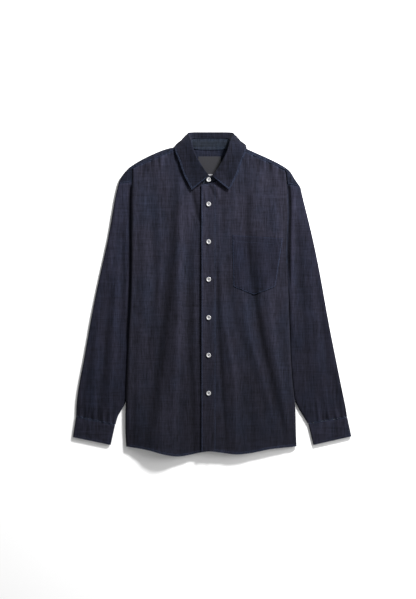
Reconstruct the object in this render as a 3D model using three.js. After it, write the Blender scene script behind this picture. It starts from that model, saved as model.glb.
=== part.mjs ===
// Denim shirt laid flat on its back: long sleeves, button front, one chest pocket.
// Millimetres. X runs across the chest, Y from hem to collar, Z up from the surface below.
// Left and right in the names are the wearer's, so the right front is on the -X side.
import * as THREE from 'three';

// Cloth
const wall = 1.2;
const bandWall = 1; // placket and pocket
const collarWall = 1.4;
const sleeveWall = 1.6;
const labelWall = 1;
const seamGap = 0.3;
const layerGap = 0.35; // between layers that lie on each other

// Body
const centre = -9; // line through the buttons
const bodyRise = 11; // top of the front above the surface, at the sides
const crownRise = 2; // more in the middle of the chest
const rollWidth = 10; // how far in the side starts to curve down
const rollEnd = -50; // degrees below level at which the front meets the back
const rollSteps = 5;
const rollFoot = 1.5 * wall + layerGap; // where its cloth ends, just above the back
const placketEdge = -26.5;
const placketWidth = 35;
const underEdge = placketEdge + placketWidth; // the right front reaches this far below
const neckFrontY = 272;
const yokeBackY = 262;
const hemLow = -400; // about where the front hem ends
const hemLiftTo = -190; // the front hem's own rise is gone from here up
const yokeCloth = 135; // from the yoke's back edge over the shoulder to its front seam
const yokeRound = 0.75; // how closely its rows follow each other along the shoulder
const sideOverlap = 2; // the back's edge lies this far inside the turned side
const hemStep = 4; // the back's hem lies this much higher than the front's

// Sleeves and cuffs
const sleeveRise = 7.2;
const sleeveTuck = 1; // the lower layer's edge lies this far under the body
const openTuck = 1.3; // and this much more above the underarm

// Collar
const collarCentre = -4;
const standDrop = wall + layerGap + 0.15; // the stand's right end lies this much lower
const standBackZ = collarWall * 1.5 + layerGap + 0.1;
const standTop = 14.9; // the stand's left end, where the first button lies

// Pocket: corners, in plan, and how far its cloth bridges the folds below it
const pocketTop = { left: [50, 146.5], right: [176, 138.4] };
const pocketLow = { left: [52.5, 17.9], right: [157.8, 17.9] };
const pocketPoint = [104.5, -2.4];
const pocketEase = 0.35;

// Label
const labelBox = { left: -34.8, right: 21.5, top: 343.6, bottom: 289 };

// Buttons
const buttonRadius = 5.8;
const buttonThick = 2.4;
const buttonLift = 0.5; // above the cloth, on its thread
const buttonY = [284.4, 223.9, 129.9, 35.9, -59.1, -152.9, -247.6];

const denim = { color: '#2a2a36', roughness: 0.92, metalness: 0 };
const denimDark = { color: '#23232e', roughness: 0.92, metalness: 0 };
const satin = { color: '#414149', roughness: 0.55, metalness: 0 };
const shell = { color: '#a9a9ad', roughness: 0.3, metalness: 0 };

const mix = (a, b, t) => a + (b - a) * t;
const clamp = (t, low = 0, high = 1) => Math.min(high, Math.max(low, t));
const smooth = (from, to, value) => {
  const t = clamp((value - from) / (to - from));
  return t * t * (3 - 2 * t);
};
const rad = (degrees) => (degrees * Math.PI) / 180;
const point = (x, y, z) => new THREE.Vector3(x, y, z);

// Rows of numbers under named columns
const table = (names, rows) => {
  const columns = names.split(' ');
  return rows.map((row) => Object.fromEntries(columns.map((name, k) => [name, row[k]])));
};

// A smooth function through the rows of a table, from one named column to another
function along(rows, from, to) {
  const slope = (k) => {
    const a = rows[Math.max(k - 1, 0)];
    const b = rows[Math.min(k + 1, rows.length - 1)];
    return (b[to] - a[to]) / (b[from] - a[from]);
  };
  return (value) => {
    let k = 0;
    while (k < rows.length - 2 && value > rows[k + 1][from]) k += 1;
    const [a, b] = [rows[k], rows[k + 1]];
    const span = b[from] - a[from];
    const t = clamp((value - a[from]) / span);
    const curve = t * t * (3 - 2 * t);
    const ease = span * t * (1 - t);
    return mix(a[to], b[to], curve) + ease * ((1 - t) * slope(k) - t * slope(k + 1));
  };
}

// A curve through points, read by a fraction of its length
function line(points) {
  const curve = new THREE.CatmullRomCurve3(points, false, 'centripetal');
  return (t) => curve.getPointAt(clamp(t));
}

// A closed solid of even thickness on a grid of points in the middle of the cloth
function cloth(name, rows, thick, finish) {
  const high = rows.length;
  const wide = rows[0].length;
  const at = (i, j) => rows[clamp(i, 0, high - 1)][clamp(j, 0, wide - 1)];
  const places = [];
  for (const side of [0.5, -0.5]) {
    for (let i = 0; i < high; i += 1) {
      for (let j = 0; j < wide; j += 1) {
        const across = at(i, j + 1).clone().sub(at(i, j - 1));
        const up = at(i + 1, j).clone().sub(at(i - 1, j));
        const out = across.cross(up).normalize();
        places.push(...at(i, j).clone().addScaledVector(out, side * thick).toArray());
      }
    }
  }
  const faces = [];
  const quad = (a, b, c, d) => faces.push(a, b, c, a, c, d);
  const top = (i, j) => i * wide + j;
  const under = (i, j) => high * wide + i * wide + j;
  for (let i = 0; i < high - 1; i += 1) {
    for (let j = 0; j < wide - 1; j += 1) {
      quad(top(i, j), top(i, j + 1), top(i + 1, j + 1), top(i + 1, j));
      quad(under(i, j), under(i + 1, j), under(i + 1, j + 1), under(i, j + 1));
    }
    quad(top(i, 0), top(i + 1, 0), under(i + 1, 0), under(i, 0));
    quad(top(i + 1, wide - 1), top(i, wide - 1), under(i, wide - 1), under(i + 1, wide - 1));
  }
  for (let j = 0; j < wide - 1; j += 1) {
    quad(top(0, j + 1), top(0, j), under(0, j), under(0, j + 1));
    quad(top(high - 1, j), top(high - 1, j + 1), under(high - 1, j + 1), under(high - 1, j));
  }
  return solid(name, places, faces, finish);
}

function solid(name, places, faces, finish) {
  const geometry = new THREE.BufferGeometry();
  geometry.setAttribute('position', new THREE.Float32BufferAttribute(places, 3));
  geometry.setIndex(faces);
  geometry.computeVertexNormals();
  const mesh = new THREE.Mesh(geometry, new THREE.MeshStandardMaterial(finish));
  mesh.name = name;
  return mesh;
}

// Outline of the body: where each side turns down, from the hem up
const rightSide = table('y x', [
  [-381, -214.5],
  [-340, -217],
  [-255, -215.5],
  [-120, -209.5],
  [32, -201.8],
  [222, -201.8],
  [312, -199.5],
]);
const leftSide = table('y x', [
  [-381, 210.5],
  [-340, 208.8],
  [-273, 207.5],
  [-238, 202],
  [-160, 196.3],
  [-5, 190.5],
  [90, 186.6],
  [212, 190],
  [267, 187],
  [303, 183],
]);
const rightX = along(rightSide, 'y', 'x');
const leftX = along(leftSide, 'y', 'x');

// The front hem's outline and its height above the surface, from right side to left
const hem = table('x y rise', [
  [-214.5, -381, 9],
  [-180, -385.5, 15],
  [-150, -391.5, 24],
  [-125, -398.5, 26],
  [-100, -403.5, 21],
  [-80, -405, 14],
  [-50, -400, 12],
  [-12, -392, 16],
  [20, -395, 16],
  [57, -399.8, 15],
  [95, -397, 13],
  [145, -387, 12],
  [210.5, -380.5, 8],
]);
const hemY = along(hem, 'x', 'y');
const hemRise = along(hem, 'x', 'rise');

// Large folds of the front: a crest or hollow from one end to the other, bowed sideways
const folds = table('x y toX toY bow width rise', [
  [-80, 250, -128, -330, 14, 17, 4.5],
  [-132, 130, -160, -300, 8, 19, -3],
  [-60, 210, -72, -340, 3, 13, -3],
  [100, 330, 190, -345, -22, 14, 4],
  [88, 240, 150, -320, -14, 16, -2.5],
  [34, -90, 62, -380, 0, 13, 3],
  [70, 300, 64, 250, 0, 9, 2],
]);

function foldRise({ x, y, toX, toY, bow, width, rise }, atX, atY) {
  const [runX, runY] = [toX - x, toY - y];
  const length = Math.hypot(runX, runY);
  const part = ((atX - x) * runX + (atY - y) * runY) / (length * length);
  if (part <= 0 || part >= 1) return 0;
  const bell = 4 * part * (1 - part);
  const off = ((atX - x) * runY - (atY - y) * runX) / length + bow * bell;
  return rise * Math.sqrt(bell) * Math.exp(-((off / width) ** 2));
}

// Height of the middle of the front's cloth over a place on the body
function bodyZ(x, y) {
  const across = clamp((x - rightX(y)) / (leftX(y) - rightX(y)));
  const crown = crownRise * 4 * across * (1 - across);
  const low = 1 - smooth(hemLow, hemLiftTo, y);
  const lifted = (hemRise(x) - bodyRise) * low * low;
  const quiet = smooth(0, 0.12, across) * smooth(1, 0.88, across);
  const calm = smooth(320, 250, y) * quiet;
  let z = bodyRise + crown + lifted;
  for (const fold of folds) z += calm * foldRise(fold, x, y);
  return z;
}

// Neckline, from the centre front to the shoulder seam: distance from the collar's middle
const neckline = table('out y', [
  [0, neckFrontY],
  [22, 284],
  [44, 308],
  [58, 338],
  [68, 361],
]);

// A front panel: four edges in plan, blended, then rolled down at the side
function frontPanel(name, spec) {
  const { innerX, sideX, sideTop, hand, drop } = spec;
  const top = line([
    point(innerX, neckFrontY, 0),
    ...neckline.slice(1).map(({ out, y }) => point(collarCentre + hand * out, y, 0)),
    ...spec.shoulder.map(([x, y]) => point(x, y, 0)),
  ]);
  const side = (v) => mix(hemY(sideX(hemLow)), sideTop, v);
  const inner = (v) => point(innerX, mix(hemY(innerX), neckFrontY, v), 0);
  const outer = (v) => point(sideX(side(v)), side(v), 0);
  const bottom = (u) => {
    const x = mix(innerX, sideX(hemLow), u);
    return point(x, hemY(x), 0);
  };
  const plan = (u, v) => {
    const place = point(0, 0, 0);
    place.addScaledVector(bottom(u), 1 - v).addScaledVector(top(u), v);
    place.addScaledVector(inner(v), 1 - u).addScaledVector(outer(v), u);
    place.addScaledVector(inner(0), -(1 - u) * (1 - v)).addScaledVector(outer(0), -u * (1 - v));
    place.addScaledVector(inner(1), -(1 - u) * v).addScaledVector(outer(1), -u * v);
    return place;
  };
  const rows = [];
  for (let i = 0; i <= spec.rows; i += 1) {
    const v = i / spec.rows;
    const row = [];
    const width = Math.abs(outer(v).x - plan(0, v).x);
    const flatTo = 1 - rollWidth / width;
    for (let j = 0; j <= spec.columns; j += 1) {
      const place = plan((flatTo * j) / spec.columns, v);
      place.z = bodyZ(place.x, place.y) - drop(place.x);
      row.push(place);
    }
    const start = row[row.length - 1];
    const edge = outer(v);
    const half = (start.z - rollFoot) / (1 - Math.sin(rad(rollEnd)));
    for (let step = 1; step <= rollSteps; step += 1) {
      const angle = mix(90, rollEnd, step / rollSteps);
      const x = edge.x + hand * rollWidth * (Math.cos(rad(angle)) - 1);
      row.push(point(x, edge.y, start.z - half * (1 - Math.sin(rad(angle)))));
    }
    rows.push(hand > 0 ? row : row.reverse());
  }
  const mesh = cloth(name, rows, wall, denim);
  mesh.userData.rows = rows;
  return mesh;
}

// Height of a panel's flat facets at a place, so that what lies on it follows its points
function onPanel({ userData: { rows } }, x, y) {
  for (let i = 0; i < rows.length - 1; i += 1) {
    for (let j = 0; j < rows[0].length - 1; j += 1) {
      const [a, b, c, d] = [rows[i][j], rows[i][j + 1], rows[i + 1][j + 1], rows[i + 1][j]];
      for (const [p, q, r] of [[a, b, c], [a, c, d]]) {
        const area = (q.x - p.x) * (r.y - p.y) - (r.x - p.x) * (q.y - p.y);
        const s = ((x - p.x) * (r.y - p.y) - (r.x - p.x) * (y - p.y)) / area;
        const t = ((q.x - p.x) * (y - p.y) - (x - p.x) * (q.y - p.y)) / area;
        if (area > 1 && s >= -0.001 && t >= -0.001 && s + t <= 1.001) {
          return p.z + s * (q.z - p.z) + t * (r.z - p.z);
        }
      }
    }
  }
  return bodyZ(x, y);
}

// The highest of a panel's facets around a place, for what spans from point to point
function overPanel(panel, x, y, reach) {
  const around = [[0, 0], [-reach, 0], [reach, 0], [0, -reach], [0, reach]];
  const heights = around.map(([dx, dy]) => onPanel(panel, x + dx, y + dy));
  return Math.max(...heights);
}

const shoulderRight = [
  [-96, 356.3],
  [-119.8, 346.6],
  [-160, 330],
  [-199.5, 314],
];
const shoulderLeft = [
  [84, 353.7],
  [107, 343.2],
  [145, 326],
  [183, 308.6],
];

const frontRight = frontPanel('front_right', {
  innerX: underEdge,
  sideX: rightX,
  sideTop: 314,
  hand: -1,
  drop: (x) => (wall + layerGap) * smooth(-66, -40, x),
  shoulder: shoulderRight,
  columns: 20,
  rows: 21,
});
const frontLeft = frontPanel('front_left', {
  innerX: placketEdge,
  sideX: leftX,
  sideTop: 308.6,
  hand: 1,
  drop: () => 0,
  shoulder: shoulderLeft,
  columns: 20,
  rows: 21,
});

// The back lies flat, between the side seams
const backRows = [];
const acrossBack = (y, t) => mix(rightX(y) + sideOverlap, leftX(y) - sideOverlap, t);
for (let i = 0; i <= 12; i += 1) {
  const row = [];
  for (let j = 0; j <= 10; j += 1) {
    const low = hemY(acrossBack(hemLow, j / 10)) + hemStep;
    const y = mix(low, yokeBackY - seamGap, i / 12);
    row.push(point(acrossBack(y, j / 10), y, wall / 2));
  }
  backRows.push(row);
}
const back = cloth('back', backRows, wall, denim);

// The placket lies on the left front, from hem to neck
const onFront = wall / 2 + layerGap + bandWall / 2;
const placketRows = [];
for (let i = 0; i <= 34; i += 1) {
  const row = [];
  for (let j = 0; j <= 3; j += 1) {
    const x = placketEdge + (placketWidth * j) / 3;
    const y = mix(hemY(x), neckFrontY, i / 34);
    row.push(point(x, y, overPanel(frontLeft, x, y, 5) + onFront));
  }
  placketRows.push(row);
}
const placket = cloth('placket', placketRows, bandWall, denim);

// The chest pocket, with a pointed bottom and a slightly slanted mouth
const pocketRows = [];
for (let i = 0; i <= 10; i += 1) {
  const row = [];
  for (let j = 0; j <= 12; j += 1) {
    const [u, v] = [j / 12, i / 10];
    const lowX = mix(pocketLow.left[0], pocketLow.right[0], u);
    const lowWidth = pocketLow.right[0] - pocketLow.left[0];
    const peak = (pocketPoint[0] - pocketLow.left[0]) / lowWidth;
    const dip = u < peak ? u / peak : (1 - u) / (1 - peak);
    const lowY = mix(pocketLow.left[1], pocketPoint[1], dip);
    const highX = mix(pocketTop.left[0], pocketTop.right[0], u);
    const highY = mix(pocketTop.left[1], pocketTop.right[1], u);
    const [x, y] = [mix(lowX, highX, v), mix(lowY, highY, v)];
    row.push(point(x, y, overPanel(frontLeft, x, y, 7) + onFront + pocketEase));
  }
  pocketRows.push(row);
}
const pocket = cloth('pocket', pocketRows, bandWall, denim);

// The same number of points along every path: shares of its length, closest at the rolls
const lengths = (path) => {
  const steps = [0];
  for (let k = 1; k < path.length; k += 1) {
    steps.push(steps[k - 1] + path[k].distanceTo(path[k - 1]));
  }
  return steps;
};

function resample(path, shares) {
  const steps = lengths(path);
  const total = steps[steps.length - 1];
  return shares.map((share) => {
    let k = 1;
    while (k < path.length - 1 && steps[k] < share * total) k += 1;
    const t = clamp((share * total - steps[k - 1]) / (steps[k] - steps[k - 1]));
    return path[k - 1].clone().lerp(path[k], t);
  });
}

// The yoke: on the surface at the back, rolled over the shoulder, ending at its front seam.
// A row for each place along the shoulder: outline, front end, back end and cloth length.
const shoulderRows = table('k outX outY topX topY backX drop length', [
  [0, -233.8, 275.4, -201.4, 279.9, -199.5, 2.4, yokeCloth],
  [1, -231, 285, -201.3, 287, -190, 2.2, yokeCloth],
  [2, -223.5, 296, -201.1, 297, -178, 1.6, yokeCloth],
  [3, -212, 311.5, -200.9, 307, -165, 0.8, yokeCloth],
  [4, -197, 322.5, -200, 314.4, -157, 0, yokeCloth],
  [5, -178, 334, -181, 322.1, -148, 0, yokeCloth],
  [6, -158, 344.2, -160, 330.6, -135, 0, yokeCloth],
  [7, -135.5, 354.2, -136, 340.6, -116, 0, yokeCloth],
  [8, -110.5, 363.5, -113, 350, -98, 0, yokeCloth],
  [9, -93, 365.6, -94, 358.4, -82, 0, yokeCloth],
  [9.5, -84, 367, -84, 361.7, -74, 0, yokeCloth],
  [10, -76, 368, -73.5, 363, -66, 0, yokeCloth],
  [11, -68, 370, -69, 362, -59, 0, 113],
  [12, -60, 371, -61, 362, -52, 0, 104],
  [13, -48, 373, -48, 362, -43, 0, 100],
  [14, -28, 374, -28, 362, -27, 0, 99.6],
  [15, -4, 374, -4, 362, -4, 0, 99.6],
  [16, 20, 374, 20, 362, 19, 0, 99.6],
  [17, 40, 373, 40, 362, 35, 0, 100],
  [18, 52, 371, 53, 362, 44, 0, 104],
  [19, 60, 369.5, 61, 361.6, 51, 0, 112],
  [20, 68, 367.5, 65.6, 363, 57, 0, yokeCloth],
  [20.5, 76, 365.7, 75, 360, 64, 0, yokeCloth],
  [21, 84, 363.5, 84.5, 354.2, 72, 0, yokeCloth],
  [22, 103, 354.6, 106, 344.4, 88, 0, yokeCloth],
  [23, 126, 344.5, 126, 335.3, 104, 0, yokeCloth],
  [24, 148, 334.5, 148, 325.3, 120, 0, yokeCloth],
  [25, 168, 324.5, 168, 316.1, 136, 0, yokeCloth],
  [26, 185, 313.8, 184.4, 308.6, 150, 0, yokeCloth],
  [27, 197, 303.5, 185.8, 300, 160, 0.8, yokeCloth],
  [28, 205, 288.5, 187.2, 291, 170, 1.6, yokeCloth],
  [29, 213.5, 276.5, 188.2, 282.5, 178, 2.2, yokeCloth],
  [30, 219.5, 268.2, 189, 275, 187.5, 2.4, yokeCloth],
]);

function yokePath(k) {
  const read = (column) => along(shoulderRows, 'k', column)(k);
  const [outX, outY, topX, topY] = ['outX', 'outY', 'topX', 'topY'].map(read);
  const backX = read('backX');
  const topZ = bodyZ(topX, topY) - read('drop');
  const toBack = point(backX - outX, yokeBackY - outY, 0).normalize();
  const toFront = point(topX - outX, topY - outY, 0);
  const deep = Math.min(rollWidth, 0.8 * toFront.length());
  toFront.normalize();
  const path = [point(backX, yokeBackY, wall / 2)];
  for (let angle = -90; angle <= 90; angle += 15) {
    const inward = toBack.clone().lerp(toFront, (angle + 90) / 180).normalize();
    const z = mix(wall / 2, topZ, 0.5 + 0.5 * Math.sin(rad(angle)));
    const place = point(outX, outY, z).addScaledVector(inward, deep * (1 - Math.cos(rad(angle))));
    path.push(place);
  }
  path.push(point(topX, topY, topZ));
  const steps = lengths(path);
  const last = path.length - 1;
  const stops = [0, 0.35, 0.7].map((share) => share * steps[1]);
  for (let k = 1; k < last; k += 2) stops.push(steps[k]);
  stops.push(mix(steps[last - 1], steps[last], 0.5), steps[last]);
  const shares = stops.map((stop) => stop / steps[last]);
  const kept = Math.min(1, read('length') / steps[last]);
  return resample(path, shares.map((share) => share * kept));
}
const yokeColumns = [];
for (let k = 0; k <= 30; k += yokeRound) yokeColumns.push(yokePath(k).reverse());
const yoke = cloth('yoke', yokeColumns, wall, denim);

// A sleeve or cuff: one sheet wound from its inner edge under, round the outer edge and back.
// Down to the underarm it is open towards the body; below, its edges meet at the inner seam.
const tubeShares = [0, 0.012, 0.03, 0.06, 0.15, 0.26, 0.37, 0.44, 0.475, 0.49, 0.5,
  0.51, 0.525, 0.56, 0.62, 0.68, 0.74, 0.8, 0.86, 0.92, 0.96, 0.98, 0.99, 1];

function tubeRow({ out, top, under, rise, closed }) {
  const low = sleeveWall / 2;
  const high = rise - sleeveWall / 2;
  const radius = (high - low) / 2;
  const toUnder = under.clone().sub(out).normalize();
  const toTop = top.clone().sub(out).normalize();
  const limit = 90 - 83 * closed;
  const path = [];
  const turn = (edge, inward, angle, deep = radius) => {
    const place = edge.clone().addScaledVector(inward, deep * (1 - Math.cos(rad(angle))));
    place.z = (low + high) / 2 + radius * Math.sin(rad(angle));
    path.push(place);
  };
  const innerDeep = radius * closed;
  const inwardUnder = toUnder.clone().negate();
  const inwardTop = toTop.clone().negate();
  for (let angle = -limit; angle >= -90; angle -= 10) turn(under, inwardUnder, angle, innerDeep);
  for (let angle = -90; angle <= 0; angle += 10) turn(out, toUnder, angle);
  for (let angle = 10; angle <= 90; angle += 10) turn(out, toTop, angle);
  for (let angle = 90; angle >= limit; angle -= 10) turn(top, inwardTop, angle, innerDeep);
  return resample(path, tubeShares);
}

// Small folds of a sleeve's upper layer: across it by share of its width, along it by Y
function sleeveLift(creases, share, y) {
  let lift = 0;
  for (const { at, width, fromY, toY, rise } of creases) {
    const part = clamp((y - fromY) / (toY - fromY));
    const bell = Math.sqrt(4 * part * (1 - part));
    lift += rise * bell * Math.exp(-(((share - at) / width) ** 2));
  }
  return lift;
}

function sleeve(name, { hand, sideX, stations, creases, count }) {
  const read = (k, column) => along(stations, 'k', column)(k);
  const last = stations[stations.length - 1].k;
  const rows = [];
  for (let i = 0; i <= count; i += 1) {
    const k = (last * i) / count;
    const [inY, underY, apart] = ['inY', 'underY', 'apart'].map((column) => read(k, column));
    const closed = clamp(read(k, 'closed'));
    const tuck = sleeveTuck + openTuck * (1 - closed);
    const row = tubeRow({
      out: point(read(k, 'outX'), read(k, 'outY'), 0),
      top: point(sideX(inY) + hand * apart, inY, 0),
      under: point(sideX(underY) + hand * (apart - tuck), underY, 0),
      rise: read(k, 'rise'),
      closed,
    });
    row.forEach((place, j) => {
      const share = (tubeShares[j] - 0.5) / 0.5;
      if (share > 0) place.z += sleeveLift(creases, share, place.y);
    });
    rows.push(hand > 0 ? row.reverse() : row);
  }
  return cloth(name, rows, sleeveWall, denim);
}

const rightSleeveRows = table('k outX outY inY underY apart rise closed', [
  [0, -233.6, 274.6, 279, 261.4, 0.95, 9.2, 0],
  [1, -242.8, 236, 236, 232, 0.95, 7.6, 0],
  [2, -259, 141, 141, 141, 0.95, sleeveRise, 0],
  [3, -281.5, 41, 41, 41, 0.95, sleeveRise, 0],
  [4, -301, -55, -60, -60, 1.2, sleeveRise, 1],
  [5, -318.5, -155, -165, -165, 1.2, sleeveRise, 1],
  [6, -331.5, -222, -236, -236, 1.2, sleeveRise, 1],
  [7, -336.5, -255, -272, -272, 1.8, sleeveRise, 1],
  [7.6, -338.6, -275, -294, -294, 14, sleeveRise, 1],
  [8, -339.3, -289, -308, -308, 23, sleeveRise, 1],
  [8.4, -339.5, -304.8, -326, -326, 26, sleeveRise, 1],
]);
const leftSleeveRows = table('k outX outY inY underY apart rise closed', [
  [0, 219.8, 267.2, 273.7, 261.4, 0.95, 9.2, 0],
  [1, 228, 231, 231, 229, 0.95, 7.6, 0],
  [2, 251, 138, 138, 138, 0.95, sleeveRise, 0],
  [3, 271, 39, 39, 39, 0.95, sleeveRise, 0],
  [4, 288, -58, -60, -60, 1.2, sleeveRise, 1],
  [5, 307, -155, -162, -162, 1.2, sleeveRise, 1],
  [6, 321, -224, -236, -236, 1.2, sleeveRise, 1],
  [7, 328, -258, -272, -272, 1.8, sleeveRise, 1],
  [7.6, 332, -278, -294, -294, 14, sleeveRise, 1],
  [8, 334.5, -291, -311, -311, 24, sleeveRise, 1],
  [8.4, 336.7, -307, -322.6, -322.6, 31.4, sleeveRise, 1],
]);
const rightCreases = table('at width fromY toY rise', [
  [0.62, 0.1, 40, -240, 1.6],
  [0.9, 0.07, 60, -160, 1.2],
  [0.35, 0.12, 200, -60, 1],
]);
const leftCreases = table('at width fromY toY rise', [
  [0.78, 0.1, 130, -60, 1.2],
  [0.6, 0.11, 0, -250, 1.6],
]);
const sleeveRight = sleeve('sleeve_right', {
  hand: -1, sideX: rightX, stations: rightSleeveRows, creases: rightCreases, count: 17,
});
const sleeveLeft = sleeve('sleeve_left', {
  hand: 1, sideX: leftX, stations: leftSleeveRows, creases: leftCreases, count: 17,
});

// Cuffs, buttoned on the side that lies below: outer and inner corner of each end
function cuff(name, { hand, seam, end }) {
  const rows = [];
  for (let i = 0; i <= 3; i += 1) {
    const t = i / 3;
    const corner = (which) => point(...seam[which], 0).lerp(point(...end[which], 0), t);
    const inner = corner('inner');
    const outer = corner('outer');
    const row = tubeRow({ out: outer, top: inner, under: inner, rise: sleeveRise, closed: 1 });
    rows.push(hand > 0 ? row.reverse() : row);
  }
  return cloth(name, rows, sleeveWall, denim);
}
const cuffRight = cuff('cuff_right', {
  hand: -1,
  seam: { outer: [-339.7, -305.5], inner: [-243.2, -326.8] },
  end: { outer: [-347.5, -357.6], inner: [-254.2, -376.9] },
});
const cuffLeft = cuff('cuff_left', {
  hand: 1,
  seam: { outer: [336.9, -307.7], inner: [240.3, -323.4] },
  end: { outer: [347.2, -355.6], inner: [253.4, -376.9] },
});

// The collar stand: a band from its right end below, round the back neck, to its left end on top.
// Out is the distance from the collar's middle, on either side; lower and upper edge of the band.
const standRows = table('k out y z topOut topY topZ', [
  [-1.5, -20, 273.8, 12.9, -16, 286, 14],
  [-1, -10, 276.6, 12.9, -8, 290.5, 14.6],
  [0, 1, 279.9, 12.9, 3, 291, 15.2],
  [1, 20, 286.6, 12.8, 14, 302, 16.6],
  [2, 42, 308.8, 12.5, 28, 322, 18.6],
  [3, 56.5, 338, 12, 38, 341, 20],
  [4, 65.5, 362, 11.5, 45.5, 362, 19.5],
  [5, 62, 372, 8, 47, 377, 14],
  [6, 54, 368.5, 4.6, 46, 385, 7],
  [7, 42, 362.8, 2.9, 39, 387.2, 3.3],
  [8, 26, 360.8, standBackZ, 26, 387.6, standBackZ],
  [9, 0, 360.6, standBackZ, 0, 387.6, standBackZ],
]);
const standStation = (hand, k) => {
  const read = (column) => along(standRows, 'k', column)(k);
  const under = hand < 0 ? standDrop * smooth(3, 1, k) : 0;
  const low = point(collarCentre + hand * read('out'), read('y'), read('z') - under);
  const high = point(collarCentre + hand * read('topOut'), read('topY'), read('topZ') - under);
  return [0, 0.35, 0.7, 1].map((t) => low.clone().lerp(high, t));
};
const standColumns = [];
for (let k = -0.75; k <= 9; k += 0.75) standColumns.push(standStation(-1, k));
for (let k = 8.25; k >= -1.5; k -= 0.75) standColumns.push(standStation(1, k));
const collarStand = cloth('collar_stand', standColumns.reverse(), wall, denim);

// The collar leaf: from the seam with the stand, over the fold, to its outer edge.
// At the front it falls outwards over the shirt; at the back it is turned under.
const leafRows = table('k seamOut seamY seamZ out y z edgeOut edgeY edgeZ bend half', [
  [0, 5.5, 292.6, 17.4, 3.5, 294, 20.4, 46.5, 259.3, 15.6, 3, 0],
  [1, 16, 304, 18.6, 13.5, 307.4, 22.6, 58.5, 281, 15.2, 3.5, 0],
  [2, 28.5, 323.5, 20.4, 25, 325, 25, 69, 303, 15.2, 4, 0],
  [3, 38, 342, 22, 35, 342.4, 26.4, 76.5, 327, 15, 4, 0],
  [4, 45.5, 363, 21.4, 44, 363.4, 26, 86.5, 351, 15, 4, 0],
  [4.5, 47, 371.5, 19, 46, 374.5, 23.6, 90.5, 361.5, 14.2, 4, 0],
  [5, 48, 379, 15.6, 49.5, 385, 20, 91.5, 370.6, 10.5, 3.5, 0],
  [6, 46.5, 387, 7.6, 57.5, 401, 9, 80, 377, 3.2, 3, 0.6],
  [7, 39, 388.7, 3.4, 50, 403.7, 2.7, 56, 376, 0.9, 1.2, 0.9],
  [8, 26, 388.7, standBackZ, 30, 404.2, 1.75, 36, 366, 0.85, 1, 0.9],
  [9, 0, 388.7, standBackZ, 0, 404.2, 1.75, 0, 365, 0.85, 1, 0.9],
]);
const leafShares = [0.3, 0.6, 0.85, 1];
const leafStation = (hand, k) => {
  const read = (column) => along(leafRows, 'k', column)(k);
  const x = (column) => collarCentre + hand * read(column);
  const seam = point(x('seamOut'), read('seamY'), read('seamZ'));
  const fold = point(x('out'), read('y'), read('z'));
  const edge = point(x('edgeOut'), read('edgeY'), read('edgeZ'));
  const up = point(0, 0, read('half'));
  const bend = (towards, share) => {
    const reach = Math.min(read('bend'), 0.6 * fold.distanceTo(towards));
    return fold.clone().addScaledVector(towards.clone().sub(fold).normalize(), reach * share);
  };
  const before = bend(seam, 1).add(up);
  const after = bend(edge, 1).sub(up);
  const nearBefore = bend(seam, 0.3).addScaledVector(up, 0.7);
  const nearAfter = bend(edge, 0.3).addScaledVector(up, -0.7);
  return [
    seam, seam.clone().lerp(before, 0.5), before, nearBefore, nearAfter, after,
    ...leafShares.map((share) => after.clone().lerp(edge, share)),
  ];
};
const leafColumns = [];
for (let k = 0; k <= 9; k += 0.5) leafColumns.push(leafStation(-1, k));
for (let k = 8.5; k >= 0; k -= 0.5) leafColumns.push(leafStation(1, k));
const collarLeaf = cloth('collar', leafColumns.reverse(), collarWall, denimDark);

// A bare satin label inside the back neck, lying on the yoke
const labelRows = [0, 1 / 3, 2 / 3, 1].map((v) =>
  [0, 1 / 3, 2 / 3, 1].map((u) => {
    const x = mix(labelBox.left, labelBox.right, u);
    return point(x, mix(labelBox.bottom, labelBox.top, v), wall + layerGap + labelWall / 2);
  }),
);
const label = cloth('label', labelRows, labelWall, satin);

// Buttons: a turned disc with a raised rim and a dished middle
const buttonProfile = [
  [0, 0],
  [0.7, 0],
  [1, 0.35],
  [1, 0.7],
  [0.88, 1],
  [0.7, 0.92],
  [0.56, 0.6],
  [0, 0.52],
].map(([r, z]) => new THREE.Vector2(r * buttonRadius, z * buttonThick));

function button(name, y, z) {
  const lathe = new THREE.LatheGeometry(buttonProfile, 12);
  lathe.rotateX(Math.PI / 2);
  const places = [];
  const faces = [];
  const known = new Map();
  const place = lathe.attributes.position;
  const index = (k) => {
    const spot = [place.getX(k), place.getY(k), place.getZ(k)];
    const key = spot.map((value) => Math.round(value * 1e4)).join();
    if (!known.has(key)) {
      known.set(key, known.size);
      places.push(...spot);
    }
    return known.get(key);
  };
  for (let k = 0; k < lathe.index.count; k += 3) {
    const face = [0, 1, 2].map((step) => index(lathe.index.getX(k + step)));
    if (new Set(face).size === 3) faces.push(...face);
  }
  const mesh = solid(name, places, faces, shell);
  mesh.position.set(centre, y, z);
  return mesh;
}
const buttons = buttonY.map((y, k) => {
  const ground = k ? overPanel(frontLeft, centre, y, 5) + onFront + bandWall / 2 : standTop;
  return button(`button_${k + 1}`, y, ground + buttonLift);
});

const shirt = new THREE.Group();
shirt.add(frontRight, frontLeft, back, placket, pocket, yoke);
shirt.add(sleeveRight, sleeveLeft, cuffRight, cuffLeft);
shirt.add(collarStand, collarLeaf, label, ...buttons);

export default shirt;
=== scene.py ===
import math

import bmesh
import bpy
import numpy as np
from mathutils import Matrix, Vector, noise
from mathutils.bvhtree import BVHTree
from mathutils.kdtree import KDTree


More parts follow.
